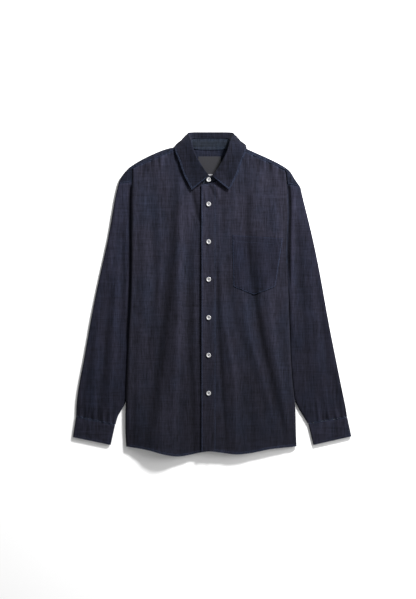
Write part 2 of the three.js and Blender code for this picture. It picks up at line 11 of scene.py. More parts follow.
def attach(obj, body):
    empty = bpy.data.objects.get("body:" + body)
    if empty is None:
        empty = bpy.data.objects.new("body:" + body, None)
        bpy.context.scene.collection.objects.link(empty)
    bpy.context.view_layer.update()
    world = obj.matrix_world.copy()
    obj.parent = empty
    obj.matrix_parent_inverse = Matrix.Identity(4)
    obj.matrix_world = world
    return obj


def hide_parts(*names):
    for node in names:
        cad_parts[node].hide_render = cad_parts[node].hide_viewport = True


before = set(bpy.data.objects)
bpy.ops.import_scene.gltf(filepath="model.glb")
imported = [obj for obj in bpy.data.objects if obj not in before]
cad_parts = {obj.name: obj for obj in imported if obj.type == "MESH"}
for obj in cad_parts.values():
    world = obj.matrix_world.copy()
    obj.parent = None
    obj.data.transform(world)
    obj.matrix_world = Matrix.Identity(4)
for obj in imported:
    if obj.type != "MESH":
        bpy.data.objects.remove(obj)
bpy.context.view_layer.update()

MM = 0.001

# The back panel lies flat below everything, cut in one piece from dark indigo denim.
# It shows at the hem and from below, so it brings in the way every panel is finished:
# the solid's triangles joined to quads, cut edges kept crisp, and the cloth rounded between.


class Tone:
    """A value that varies over the cloth, as a socket of its shader."""

    def __init__(self, dye, socket):
        self.dye, self.socket = dye, socket

    def _math(self, operation, first, second):
        return self.dye.add("Math", {"operation": operation}, {0: first, 1: second})

    def __add__(self, other):
        return self._math("ADD", self, other)

    def __radd__(self, other):
        return self._math("ADD", other, self)

    def __sub__(self, other):
        return self._math("SUBTRACT", self, other)

    def __mul__(self, other):
        return self._math("MULTIPLY", self, other)

    def __rmul__(self, other):
        return self._math("MULTIPLY", other, self)


class Dye:
    """A material, made node by node."""

    def __init__(self, name):
        self.material = bpy.data.materials.new(name)
        self.material.use_nodes = True
        self.nodes = self.material.node_tree.nodes
        self.links = self.material.node_tree.links
        self.surface = self.nodes["Principled BSDF"]

    def add(self, kind, settings=(), inputs=(), output=0):
        """A node of that type with its settings and inputs; returns one of its outputs."""
        node = self.nodes.new("ShaderNode" + kind)
        for key, value in dict(settings).items():
            setattr(node, key, value)
        for key, value in dict(inputs).items():
            self.feed(node, key, value)
        return Tone(self, node.outputs[output])

    def feed(self, node, key, value):
        if isinstance(value, Tone):
            self.links.new(value.socket, node.inputs[key])
        else:
            node.inputs[key].default_value = value

    def set(self, **inputs):
        """Sets or links the shader's own sockets, named with underscores for spaces."""
        for key, value in inputs.items():
            self.feed(self.surface, key.replace("_", " "), value)
        return self.material


def denim(name, colour, turn=0.0, slub=1.0):
    """Indigo denim: slubby warp and weft, a fine twill, cloudy dye and pale worn edges, with painted
    light that grows toward the top and painted light and shade on its folds.
    """
    dye = Dye(name)
    place = dye.add("TexCoord", output=3)

    def threads(scale, detail=3.0, rough=0.65):
        lay = {"Vector": place, "Rotation": (0, 0, turn), "Scale": scale}
        laid = dye.add("Mapping", {}, lay)
        sockets = {"Vector": laid, "Scale": 1.0, "Detail": detail, "Roughness": rough}
        return dye.add("TexNoise", {}, sockets)

    warp = threads((340, 24, 60))
    warp_fine = threads((1100, 60, 200), 2.0)
    weft = threads((14, 400, 60))
    weft_fine = threads((70, 950, 200), 2.0)
    cloud = threads((9, 7, 9), 4.0, 0.6)
    weave = 1.0 * warp + 0.8 * warp_fine + 0.65 * weft + 0.5 * weft_fine - 1.475
    painted_light_toward_top = dye.add("SeparateXYZ", {}, {0: place}, 1)
    # painted light: the cloth is lighter toward the top and darker toward the hem, as if the lamp
    # were nearer the top
    shade = (1.0 + slub * 1.9 * weave + 0.5 * (cloud - 0.5)) * (1.0 + 0.7 * painted_light_toward_top)
    # painted highlight on the crests of folds and painted shade in their troughs, from each point's
    # kept fold lift
    painted_fold_light = dye.add("Attribute", {"attribute_name": "lay"}, output=2)
    shade = shade * dye.add("Clamp", {}, {"Value": 1.0 + 0.105 * painted_fold_light, "Min": 0.55, "Max": 1.6})
    shade = dye.add("Clamp", {}, {"Value": shade, "Min": 0.3, "Max": 3.0})
    bluer = (0.76 * colour[0], 0.94 * colour[1], 1.04 * colour[2], 1)
    patches = dye.add("Clamp", {}, {"Value": 4.0 * (threads((15, 8, 9)) - 0.44)})
    hues = {0: 0.8 * patches, 6: (*colour, 1), 7: bluer}
    dyed = dye.add("Mix", {"data_type": "RGBA"}, hues, 2)
    plain = dye.add("VectorMath", {"operation": "SCALE"}, {0: dyed, "Scale": shade})
    edge = dye.add("Attribute", {"attribute_name": "edge"}, output=2)
    rub = dye.add("Clamp", {}, {"Value": 0.15 + 3.0 * (warp_fine - 0.4)})
    pale = (0.036, 0.052, 0.098, 1)
    tint = dye.add("Mix", {"data_type": "RGBA"}, {0: 0.8 * edge * rub, 6: plain, 7: pale}, 2)
    twill = dye.add("Mapping", {}, {"Vector": place, "Rotation": (0, 0, turn + 1.1)})
    lines = {"wave_type": "BANDS", "bands_direction": "X"}
    waves = {"Vector": twill, "Scale": 330.0, "Distortion": 1.5, "Detail": 1.0}
    ribs = dye.add("TexWave", lines, waves)
    relief = 0.5 * ribs + 0.9 * warp_fine + 0.7 * weft_fine + 0.5 * warp
    bump = dye.add("Bump", {}, {"Height": relief, "Strength": 0.4, "Distance": 0.0004})
    return dye.set(
        Base_Color=tint,
        Roughness=0.9,
        Normal=bump,
        Specular_IOR_Level=0.05,
        Sheen_Weight=0.02,
        Sheen_Roughness=0.6,
    )


def fine_copy(node, levels):
    """A panel's solid with its triangles joined to quads and its cut edges kept crisp."""
    work = bmesh.new()
    work.from_mesh(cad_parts[node].data)
    bmesh.ops.remove_doubles(work, verts=work.verts, dist=1e-6)
    bmesh.ops.join_triangles(
        work,
        faces=work.faces,
        angle_face_threshold=math.radians(60),
        angle_shape_threshold=math.pi,
    )
    crease = work.edges.layers.float.new("crease_edge")
    for edge in work.edges:
        if edge.calc_face_angle(0) > math.radians(68):
            edge[crease] = 1.0
    mesh = bpy.data.meshes.new(node)
    work.to_mesh(mesh)
    work.free()
    piece = bpy.data.objects.new(node + "_cloth", mesh)
    bpy.context.scene.collection.objects.link(piece)
    round_off = piece.modifiers.new("rounded", "SUBSURF")
    round_off.levels = round_off.render_levels = levels
    settled = piece.evaluated_get(bpy.context.evaluated_depsgraph_get())
    piece.data = bpy.data.meshes.new_from_object(settled)
    piece.modifiers.clear()
    for spare in ("custom_normal", "crease_edge"):
        if spare in piece.data.attributes:
            piece.data.attributes.remove(piece.data.attributes[spare])
    return piece


def points_of(piece):
    places = np.empty(len(piece.data.vertices) * 3, np.float32)
    piece.data.vertices.foreach_get("co", places)
    return places.reshape(-1, 3) / MM


def move_to(piece, places):
    piece.data.vertices.foreach_set("co", (places * MM).astype(np.float32).ravel())
    piece.data.update()


def keep_values(piece, name, values):
    """Stores a value for each point, which the cloth's material reads."""
    layers = piece.data.attributes
    layer = layers[name] if name in layers else layers.new(name, "FLOAT", "POINT")
    layer.data.foreach_set("value", np.asarray(values, np.float32))


def add_values(piece, name, more):
    """Adds to a value that is kept for each point."""
    known = np.empty(len(more), np.float32)
    piece.data.attributes[name].data.foreach_get("value", known)
    keep_values(piece, name, known + more.astype(np.float32))


def mark_edges(piece, wear, reach=1.0):
    """Keeps how worn each point is, within about that reach of the cut edges."""
    work = bmesh.new()
    work.from_mesh(piece.data)
    rim = set()
    for face in work.faces:
        face.smooth = True
    for edge in work.edges:
        # only a cut edge of the cloth, or a hard fold, is as sharp as this
        if edge.calc_face_angle(0) > math.radians(60):
            edge.smooth = False
            rim.update(edge.verts)
    near = KDTree(len(rim))
    for k, corner in enumerate(rim):
        near.insert(corner.co, k)
    near.balance()
    values = [wear * math.exp(-near.find(v.co)[2] / (reach * MM)) for v in work.verts]
    work.to_mesh(piece.data)
    work.free()
    keep_values(piece, "edge", values)


def finish_cloth(
    piece,
    material,
    node,
    wear=0.6,
):
    """Marks its worn edges, gives it its cloth, and sets it in place of its solid."""
    mark_edges(piece, wear)
    piece.data.materials.clear()
    piece.data.materials.append(material)
    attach(piece, "root")
    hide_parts(node)


indigo = (0.0102, 0.01, 0.0165)
body_denim = denim("denim", indigo)
back = fine_copy("back", 2)
finish_cloth(back, body_denim, "back")

# The two fronts are laid over the back and turn under along both sides. They are cut from
# the same denim as the back, with a narrow hem turned up twice. The right front runs on
# below the placket of the left one. Their folds are given one path each.


def step(low, high, value):
    t = np.clip((value - low) / (high - low), 0, 1)
    return t * t * (3 - 2 * t)


def smooth_path(path, window=15, count=90):
    """A path's X at even steps of Y from its lower to its upper end, with soft bends."""
    path = np.array(sorted(path, key=lambda place: place[1]), float)
    y = np.linspace(path[0, 1], path[-1, 1], count)
    x = np.interp(y, path[:, 1], path[:, 0])
    padded = np.pad(x, window // 2, mode="reflect", reflect_type="odd")
    return y, np.convolve(padded, np.ones(window) / window, "valid")


def fold(places, path, width, rise):
    """How far one fold lifts each point: a soft ridge, or a trough where rise is below zero."""
    y, x = smooth_path(path)
    middle = np.interp(places[:, 1], y, x)
    part = np.clip((places[:, 1] - y[0]) / (y[-1] - y[0]), 0, 1)
    bell = np.sqrt(4 * part * (1 - part))
    return rise * bell * np.exp(-(((places[:, 0] - middle) / width) ** 2))


def ripple(places, size, seed, stretch=(1, 1)):
    """Small unevenness of laid cloth, about one at most."""
    flat = [
        noise.noise(Vector((x * stretch[0] / size, y * stretch[1] / size, seed)))
        for x, y in places[:, :2]
    ]
    return np.array(flat)


def settle(piece, folds, low, high, seed, uneven=0.5):
    """Lays listed folds and a little unevenness into a panel's upper side."""
    places = points_of(piece)
    upper = step(low, high, places[:, 2])
    lay = sum(fold(places, *row) for row in folds)
    small = uneven * ripple(places, 55, seed, (1.6, 0.6))
    small = small + 0.4 * uneven * ripple(places, 15, seed + 5, (1.3, 0.7))
    places[:, 2] += upper * (lay + small)
    move_to(piece, places)
    # the lift is kept, and the material turns it into painted highlight on crests and painted shade
    # in troughs
    keep_values(piece, "lay", upper * (lay + small))


def free_edge(piece, edge_x, rise=2.6):
    """Lets the opening's edge stand a little off what it laps over, most above the waist."""
    reach, held_below, free_above = 17, -330, -120
    places = points_of(piece)
    loose = step(reach, 1, places[:, 0] - edge_x) * step(4, 8, places[:, 2])
    loose *= 0.3 + 0.7 * step(held_below, free_above, places[:, 1])
    places[:, 2] += rise * loose * (1 + 0.5 * ripple(places, 70, 12.0))
    move_to(piece, places)


def fill_out(piece, path, width, rise):
    """Lifts one soft ridge beside a turned side, which gets none of the painted highlight that the
    crests of folds get.
    """
    places = points_of(piece)
    places[:, 2] += step(5, 9, places[:, 2]) * fold(places, path, width, rise)
    move_to(piece, places)


def far_edge(piece, along, across, sign, bins=100):
    """How far a piece reaches on one axis, by the place on another."""
    places = points_of(piece)
    stops = np.linspace(places[:, along].min(), places[:, along].max(), bins)
    group = np.clip(np.searchsorted(stops, places[:, along]), 1, bins - 1)
    reach = np.full(bins, -1e9)
    np.maximum.at(reach, group, sign * places[:, across])
    known = reach > -1e8
    return lambda at: np.interp(at, stops[known], sign * reach[known])


def spaced(line, pitch):
    """Points along a line of straight parts, evenly apart."""
    line = np.array(line, float)
    steps = np.concatenate([[0], np.cumsum(np.hypot(*np.diff(line, axis=0).T))])
    at = np.linspace(0, steps[-1], max(1, round(steps[-1] / pitch)) + 1)
    return np.stack([np.interp(at, steps, line[:, k]) for k in (0, 1)], 1)


def inset(line, width):
    """A line moved to its left by a width, with mitred corners."""
    line = np.array(line, float)
    run = np.diff(line, axis=0)
    run /= np.linalg.norm(run, axis=1, keepdims=True)
    left = np.stack([-run[:, 1], run[:, 0]], 1)
    first, last = np.vstack([left[:1], left]), np.vstack([left, left[-1:]])
    return line + width * (first + last) / (1 + (first * last).sum(1, keepdims=True))


def surface_of(piece):
    work = bmesh.new()
    work.from_mesh(piece.data)
    tree = BVHTree.FromBMesh(work)
    work.free()
    return tree


def height(surface, x, y):
    """Height of a piece's upper side over a place, or None beside it, in millimetres."""
    above_all = 0.08
    hit = surface.ray_cast(Vector((x * MM, y * MM, above_all)), Vector((0, 0, -1)))
    return None if hit[0] is None else hit[0].z / MM


def away_from(lines, places):
    """How far each point lies from the nearest of some lines, seen from above."""
    marks = [spot for line in lines for spot in spaced(line, 2.0)]
    tree = KDTree(len(marks))
    for k, (x, y) in enumerate(marks):
        tree.insert(Vector((x, y, 0)), k)
    tree.balance()
    return np.array([tree.find(Vector((x, y, 0)))[2] for x, y, _ in places])


def sew_down(piece, lines, low, deep=0.3, pucker=0.35):
    """Pulls the upper side down along its seams, with small puckers beside them."""
    pucker_reach, dip_reach = 4, 1.3
    places = points_of(piece)
    away = away_from(lines, places)
    near = np.exp(-((away / pucker_reach) ** 2))
    waves = ripple(places, 7, 4.0) + 0.5 * ripple(places, 3.5, 7.0)
    lift = pucker * waves * near - deep * np.exp(-((away / dip_reach) ** 2))
    places[:, 2] += step(low - 0.8, low + 0.8, places[:, 2]) * lift
    move_to(piece, places)


def gather(piece, line, low, rise, reach=30, size=12, seed=6.0):
    """Short puckers that run from a seam where more cloth was eased in, with painted highlight on
    their crests and painted shade between them.
    """
    painted_pucker_light = 1.6
    places = points_of(piece)
    near = np.exp(-((away_from([line], places) / reach) ** 2))
    waves = ripple(places, size, seed, (1, 0.14))
    waves = waves + 0.5 * ripple(places, size / 2, seed, (1, 0.2))
    lift = rise * step(low - 1, low + 1, places[:, 2]) * near * waves
    places[:, 2] += lift
    move_to(piece, places)
    # the puckers' lift is kept as painted highlight on their crests and painted shade between them
    add_values(piece, "lay", painted_pucker_light * lift)


cotton = Dye("thread")
cotton.set(Base_Color=(0.028, 0.04, 0.08, 1), Roughness=0.75, Specular_IOR_Level=0.2)
cotton_dark = Dye("thread_dark")
cotton_dark.set(Base_Color=(0.018, 0.024, 0.046, 1), Roughness=0.75, Specular_IOR_Level=0.2)


def stitch(piece, lines, name, pitch=3.2, dye=cotton):
    """Thread along the seams of a piece, one small oval for each stitch."""
    half_long, half_wide, half_thick, above = 0.39 * pitch, 0.3, 0.24, 0.1
    steepest = 0.7 * pitch
    surface = surface_of(piece)
    work = bmesh.new()
    for line in lines:
        spots = spaced(line, pitch)
        for (x0, y0), (x1, y1) in zip(spots[:-1], spots[1:]):
            tall = [height(surface, *spot) for spot in ((x0, y0), (x1, y1))]
            tall.append(height(surface, (x0 + x1) / 2, (y0 + y1) / 2))
            if None in tall or max(tall) - min(tall) > steepest:
                continue
            run = Vector((x1 - x0, y1 - y0, tall[1] - tall[0])).normalized()
            side = Vector((0, 0, 1)).cross(run).normalized()
            up = run.cross(side)
            lay = Matrix((run * half_long, side * half_wide, up * half_thick))
            lay = lay.transposed().to_4x4()
            lay.translation = Vector(((x0 + x1) / 2, (y0 + y1) / 2, tall[2])) + up * above
            bmesh.ops.create_icosphere(
                work, subdivisions=2, radius=1, matrix=Matrix.Scale(MM, 4) @ lay
            )
    for face in work.faces:
        face.smooth = True
    mesh = bpy.data.meshes.new(name)
    work.to_mesh(mesh)
    work.free()
    mesh.materials.append(dye.material)
    thread = bpy.data.objects.new(name, mesh)
    bpy.context.scene.collection.objects.link(thread)
    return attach(thread, "root")


def turn_hem(piece, deep=7.0, rise=0.8):
    """Thickens the lower edge where the cloth is turned up twice, and gives its seam line."""
    side_gap, seam_below = 9, 1.6
    low = far_edge(piece, 0, 1, -1)
    places = points_of(piece)
    above = places[:, 1] - low(places[:, 0])
    turned = rise * step(deep + 1.2, deep - 0.6, above)
    places[:, 2] += step(4, 8, places[:, 2]) * turned
    move_to(piece, places)
    x = np.linspace(places[:, 0].min() + side_gap, places[:, 0].max() - side_gap, 40)
    seam = np.stack([x, low(x) + deep - seam_below], 1)
    sew_down(piece, [seam], 5.0)
    return seam


placket_left = -26.5
shoulder_seams = {
    "right": [(-99, 358.2), (-119.8, 348.8), (-160, 332.4), (-197, 316.8)],
    "left": [(88, 354.6), (109, 345.2), (147, 328), (181, 312.2)],
}
# path from top to bottom, width and rise of each fold, in millimetres
right_side_ridge = (
    [(-193, 300), (-195, 247), (-200, 100), (-206, -100), (-209, -228), (-209, -345)],
    8,
    3.4,
)
right_front_folds = [
    ([(-92, 310), (-101, 157), (-109, 47), (-119, -63), (-134, -173), (-151, -283),
      (-164, -400)], 11, -3.2),
    ([(-82, 305), (-79, 235), (-82, 102), (-84, -8), (-84, -118), (-92, -228),
      (-102, -420)], 10, 3.4),
    ([(-169, 295), (-169, 102), (-164, -8), (-179, -118), (-189, -283), (-190, -380)], 14, 2.3),
    ([(-149, 240), (-149, 157), (-144, 47), (-149, -63), (-158, -150)], 7, -1.5),
    ([(-131, 230), (-129, 47), (-139, -80)], 6, 1.2),
    ([(-58, 130), (-60, 47), (-58, -8), (-60, -63), (-57, -173), (-50, -265),
      (-46, -430)], 8, -2.8),
    ([(-44, 110), (-42, -63), (-40, -190)], 5, 1.1),
    ([(-52, 268), (-44, 222), (-34, 178)], 6, -3.2),
    ([(-64, 262), (-58, 200), (-56, 130)], 7, 1.3),
    ([(-194, -240), (-198, -390)], 9, -1.8),
    ([(-128, -210), (-124, -300), (-118, -420)], 12, 1.8),
]
left_front_folds = [
    ([(74, 345), (87, 267), (88, 212), (84, 157), (86, 102), (98, 47), (106, -8), (113, -63),
      (123, -118), (136, -173), (151, -228), (166, -290), (192, -400)], 9, -3.2),
    ([(118, 320), (120, 267), (124, 200)], 12, 1.8),
    ([(158, 270), (160, 157), (166, 90)], 13, 1.9),
    ([(141, 50), (141, -8), (148, -63), (152, -118), (163, -173), (173, -228), (190, -340)], 9, 2.6),
    ([(60, 150), (61, 102), (71, 47), (78, -8), (86, -63), (98, -118), (113, -173), (131, -228),
      (156, -330)], 9, 2.0),
    ([(98, 150), (104, 60), (112, -10)], 9, -1.8),
    ([(38, 150), (38, 102), (41, 47), (46, -8), (56, -63), (76, -118), (93, -173), (113, -228),
      (140, -330)], 9, -1.5),
    ([(22, 90), (24, 20), (29, -63), (36, -118), (52, -173), (59, -228), (60, -400)], 9, 2.3),
    ([(13, 90), (12, -63), (16, -118), (24, -228), (37, -420)], 6, -2.5),
    ([(24, 262), (25, 212), (24, 140)], 6, -1.5),
    ([(54, 270), (55, 225), (54, 180)], 9, 1.4),
    ([(-13, 278), (-3, 262), (8, 238)], 4, -2.2),
    ([(-21, 270), (-17, 250), (-15, 226)], 4, 1.3),
    ([(1, 278), (13, 258), (18, 232)], 4.5, 1.3),
    ([(192, 300), (188, 200), (185, 110), (181, 10)], 7, -3.6),
    ([(66, 300), (62, 248)], 5, -1.6),
    ([(92, -210), (98, -300), (104, -420)], 10, -1.6),
]
for side, folds, seed, wide in (
    ("right", right_front_folds, 2.0, 0.235),
    ("left", left_front_folds, 9.0, 0.245),
):
    front = fine_copy("front_" + side, 3)
    settle(front, folds, 4.5, 8.5, seed)
    gather(front, shoulder_seams[side], 6.0, 4.2)
    if side == "left":
        free_edge(front, placket_left)
    else:
        fill_out(front, *right_side_ridge)
    hem = turn_hem(front)
    trims = [stitch(front, [hem], f"hem_{side}_stitches")]
    flat, area = (wide, 0.765), 0.7 * wide
    finish_cloth(front, body_denim, "front_" + side)
fronts = {side: bpy.data.objects[f"front_{side}_cloth"] for side in ("right", "left")}

# The placket is a straight band of the same denim, folded and sewn down along both edges
# of the left front, so it follows the folds below it. Its buttonholes are worked upright.

# the height taken for the shirt's upper side where a place lies beside the panel
usual_height = 12.0


def height_inside(surface, x, y, lowest=6.0):
    """The upper side's height, taken a little further in where a place is on the edge."""
    for dx, dy in ((0, 0), (0.9, 0), (-0.9, 0), (0, 1.5), (0.9, 1.5), (0, 4)):
        found = height(surface, x + dx, y + dy)
        if found is not None and found > lowest:
            return found
    return usual_height


def follow(piece, old, new):
    """Lifts a piece that lies on a panel by as much as the panel's own folds moved."""
    places = points_of(piece)
    lift = np.array([height_inside(new, x, y) - height_inside(old, x, y) for x, y, _ in places])
    places[:, 2] += lift
    move_to(piece, places)
    # the lift is kept, and the material paints highlight and shade from it as on the folds
    keep_values(piece, "lay", lift)


def sweep(work, path, radius, around=6):
    """A closed cord of a few sides through a loop of places."""
    rings = []
    for k, place in enumerate(path):
        run = (path[(k + 1) % len(path)] - path[k - 1]).normalized()
        side = run.cross(Vector((0, 0, 1))).normalized()
        up = side.cross(run)
        ring = []
        for turn in range(around):
            angle = 2 * math.pi * turn / around
            out = side * math.cos(angle) + up * math.sin(angle)
            ring.append(work.verts.new((place + out * radius(k)) * MM))
        rings.append(ring)
    for k, ring in enumerate(rings):
        last = rings[k - 1]
        for turn in range(around):
            corners = (last[turn - 1], last[turn], ring[turn], ring[turn - 1])
            work.faces.new(corners).smooth = True


def buttonholes(piece, spots, name, upright=True, long=14.5, wide=2.4):
    """Thread worked close round each slit, thickest at its ends."""
    around, blunt_ends, blunt_sides = 84, 0.35, 0.6
    surface = surface_of(piece)
    work = bmesh.new()
    for x, y in spots:
        loop = []
        for k in range(around):
            angle = 2 * math.pi * k / around
            end = math.copysign(abs(math.cos(angle)) ** blunt_ends, math.cos(angle))
            across = math.copysign(abs(math.sin(angle)) ** blunt_sides, math.sin(angle))
            shift = (across * wide / 2, end * long / 2)
            px, py = x + shift[0 if upright else 1], y + shift[1 if upright else 0]
            loop.append(Vector((px, py, (height(surface, px, py) or usual_height) + 0.1)))
        sweep(work, loop, lambda k: 0.5 + 0.1 * (k % 2))
    bmesh.ops.recalc_face_normals(work, faces=work.faces)
    mesh = bpy.data.meshes.new(name)
    work.to_mesh(mesh)
    work.free()
    mesh.materials.append(cotton.material)
    worked = bpy.data.objects.new(name, mesh)
    bpy.context.scene.collection.objects.link(worked)
    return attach(worked, "root")


placket_right, placket_top, placket_foot = 8.5, 271, -389
button_x = -9
button_spots = [(button_x, y) for y in (223.9, 129.9, 35.9, -59.1, -152.9, -247.6)]
cad_left = surface_of(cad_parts["front_left"])
laid_left = surface_of(fronts["left"])
placket = fine_copy("placket", 3)
follow(placket, cad_left, laid_left)
placket_lines = [
    [(placket_left + 1.6, placket_foot), (placket_left + 1.6, placket_top)],
    [(placket_right - 2.2, placket_foot), (placket_right - 2.2, placket_top)],
]
sew_down(placket, placket_lines, 10.0)
trims = [
    stitch(placket, placket_lines[:1], "placket_edge_stitches"),
    stitch(placket, placket_lines[1:], "placket_stitches", dye=cotton_dark),
    buttonholes(placket, button_spots, "placket_buttonholes"),
]
finish_cloth(placket, body_denim, "placket", wear=0.45)

# The chest pocket is one layer with a turned mouth, sewn to the left front on three sides.
pocket_mouth = [(176, 138.4), (50, 146.5)]
pocket_sides = [pocket_mouth[1], (52.5, 17.9), (104.5, -2.4), (157.8, 17.9), pocket_mouth[0]]
pocket = fine_copy("pocket", 3)
follow(pocket, cad_left, laid_left)
pocket_lines = [inset(pocket_sides, 1.7), inset(pocket_mouth, 15)]
sew_down(pocket, pocket_lines, 10.0)
sew_down(pocket, [pocket_sides], 10.0, deep=1.25, pucker=0.3)
trims = [
    stitch(pocket, pocket_lines[:1], "pocket_edge_stitches", pitch=2.9),
    stitch(pocket, pocket_lines[1:], "pocket_stitches", pitch=2.9, dye=cotton_dark),
]
pocket_denim = denim("denim_pocket", (0.0076, 0.0079, 0.0144))
flat, area = (0.128, 0.15), 0.0163
finish_cloth(pocket, pocket_denim, "pocket", wear=0.45)

# The yoke joins back and fronts over the shoulders, rolled where the shirt is laid down.
# It is topstitched along its two front seams and at the sleeve heads.
yoke_lines = [
    *shoulder_seams.values(),
    [(-230.5, 277.8), (-204, 282)],
    [(216.5, 271.6), (193, 277.2)],
]
stand_corners = [(-43, 362), (37, 362)]
reach_in = 2.4


def close_to(places, spot, reach):
    """One at a spot seen from above, falling softly to none beyond its reach."""
    return np.exp(-(((places[:, :2] - spot) / reach) ** 2).sum(1))


yoke = fine_copy("yoke", 2)
places = points_of(yoke)
# the lower layer reaches in below the stand, so that nothing shows through at its corners
for corner in stand_corners:
    places[:, 1] += reach_in * close_to(places, corner, 5) * step(8, 5, places[:, 2])
move_to(yoke, places)
sew_down(yoke, yoke_lines, 6.0, deep=0.5, pucker=0.8)
trims = [stitch(yoke, yoke_lines, "yoke_stitches")]
# the yoke's denim is a darker copy of the body's: painted shade on its rolled top, which faces the
# lamp
yoke_painted_shade_denim = denim("denim_yoke_painted_shade", (0.0066, 0.0075, 0.0135), slub=1.4)
finish_cloth(yoke, yoke_painted_shade_denim, "yoke", wear=0.3)

# The sleeves are each one sheet, sewn to a tube below the underarm and laid flat, with
# their upper edge tucked in beside the body. The cuffs are bands of doubled denim,
# buttoned on the side that lies below, and the sleeves are gathered into them.


def tuck_in(sleeve, body_side, hand, wide, lowest):
    """Presses the sleeve flat along the body, slips its edge under the turned side and paints shade
    into the crease there.
    """
    lower_layer, pressed, painted_crease_shade = 2.6, 0.72, 6.0
    underarm = (278, 262)
    places = points_of(sleeve)
    away = hand * (places[:, 0] - body_side(places[:, 1]))
    along = step(lowest, lowest + 80, places[:, 1]) * step(*underarm, places[:, 1])
    near = step(wide, 0.3 * wide, away) * along
    outer = step(3.8, 5.2, places[:, 2])
    places[:, 2] -= pressed * near * np.clip(places[:, 2] - lower_layer, 0, None)
    places[:, 0] -= hand * near * outer
    move_to(sleeve, places)
    # painted shade in the crease beside the body, as a lower fold value
    add_values(sleeve, "lay", -painted_crease_shade * near * outer)


sleeve_folds = {
    "right": [
        ([(-238, 70), (-240, -8), (-242, -63), (-247, -118), (-245, -173), (-256, -228),
          (-258, -300)], 8, 2.0),
        ([(-253, 40), (-257, -8), (-262, -63), (-265, -118), (-269, -173), (-275, -228),
          (-281, -320)], 8, -2.2),
        ([(-283, -60), (-287, -118), (-290, -173), (-295, -228), (-297, -310)], 8, 1.9),
        ([(-302, -80), (-305, -118), (-310, -173), (-317, -228), (-325, -310)], 7, -1.8),
        ([(-225, 190), (-224, 47), (-224, -50)], 6, -1.7),
        ([(-236, 240), (-262, 60)], 8, 1.2),
        ([(-262, 60), (-276, -60)], 9, -1.2),
        ([(-268, -285), (-272, -325)], 3.5, 1.4),
        ([(-284, -280), (-289, -322)], 3.5, -1.4),
        ([(-304, -276), (-311, -318)], 3.5, 1.5),
    ],
    "left": [
        ([(212, 190), (215, 102), (216, 47), (226, -8), (228, -63), (233, -118), (238, -173),
          (246, -240)], 8, -2.3),
        ([(206, 300), (202, 190), (199, 100), (199, 0), (204, -120)], 7, 3.4),
        ([(240, 110), (250, 0), (258, -63), (264, -118), (274, -200)], 9, 1.9),
        ([(270, -20), (282, -118), (296, -220)], 9, -1.7),
        ([(276, -190), (284, -310)], 8, 1.7),
        ([(300, -180), (316, -300)], 7, -1.5),
        ([(262, -262), (265, -322)], 3.5, 1.4),
        ([(280, -270), (284, -318)], 3.5, -1.4),
        ([(306, -266), (311, -314)], 3.5, 1.4),
    ],
}
cuff_corners = {
    "right": [(-339.7, -305.5), (-243.2, -326.8), (-254.2, -376.9), (-347.5, -357.6)],
    "left": [(240.3, -323.4), (336.9, -307.7), (347.2, -355.6), (253.4, -376.9)],
}
# side, its hand, the grain's turn, how much of its colour its denim keeps as painted shade, and the
# crease's width and lowest place
for side, hand, turn, dyed, wide, lowest in (
    ("right", -1, -0.17, 1.0, 12, -150),
    ("left", 1, 0.165, 0.88, 9, 0),
):
    # the left sleeve gets a darker copy of the same denim: painted shade
    colour = (0.0103 * dyed, 0.0103 * dyed, 0.0181 * dyed)
    sleeve_denim = denim("denim_sleeve_" + side, colour, turn)
    sleeve = fine_copy("sleeve_" + side, 3)
    settle(sleeve, sleeve_folds[side], 4.2, 6.2, 3.0 + turn, uneven=0.6)
    tuck_in(sleeve, far_edge(fronts[side], 1, 0, hand), hand, wide, lowest)
    seam_near, seam_far, end_far, end_near = cuff_corners[side]
    cuff_seam, cuff_end = [seam_near, seam_far], [end_far, end_near]
    gather(sleeve, cuff_seam, 5.5, 3.4)
    finish_cloth(sleeve, sleeve_denim, "sleeve_" + side)
    cuff_lines = [inset(cuff_seam, -2), inset(cuff_end, -5)]
    cuff_denim = denim("denim_cuff_" + side, (0.0124, 0.0124, 0.0212), turn, slub=1.3)
    cuff = fine_copy("cuff_" + side, 3)
    sew_down(cuff, cuff_lines, 6.0)
    trims = [stitch(cuff, cuff_lines, f"cuff_{side}_stitches", dye=cotton_dark)]
    flat = (0.2, 0.055)
    finish_cloth(cuff, cuff_denim, "cuff_" + side, wear=0.5)

# The collar stand is a band round the neck, and the collar leaf folds over it. Both are
# two layers of denim with interlining, smoother and darker than the body, topstitched
# near their edges. The stand's inside shows paler, and its end holds the first button.
collar_middle = -4
# how far out, and the height on the shirt, of the leaf's free edge from its front end round
leaf_edge = [
    (9, 287.8), (46.5, 259.3), (58.5, 281), (69, 303), (76.5, 327), (86.5, 351), (90.5, 361),
]
edge_seam = 3.2
leaf_lines = [
    inset([(collar_middle - out, y) for out, y in leaf_edge[::-1]], edge_seam),
    inset([(collar_middle + out, y) for out, y in leaf_edge], edge_seam),
]
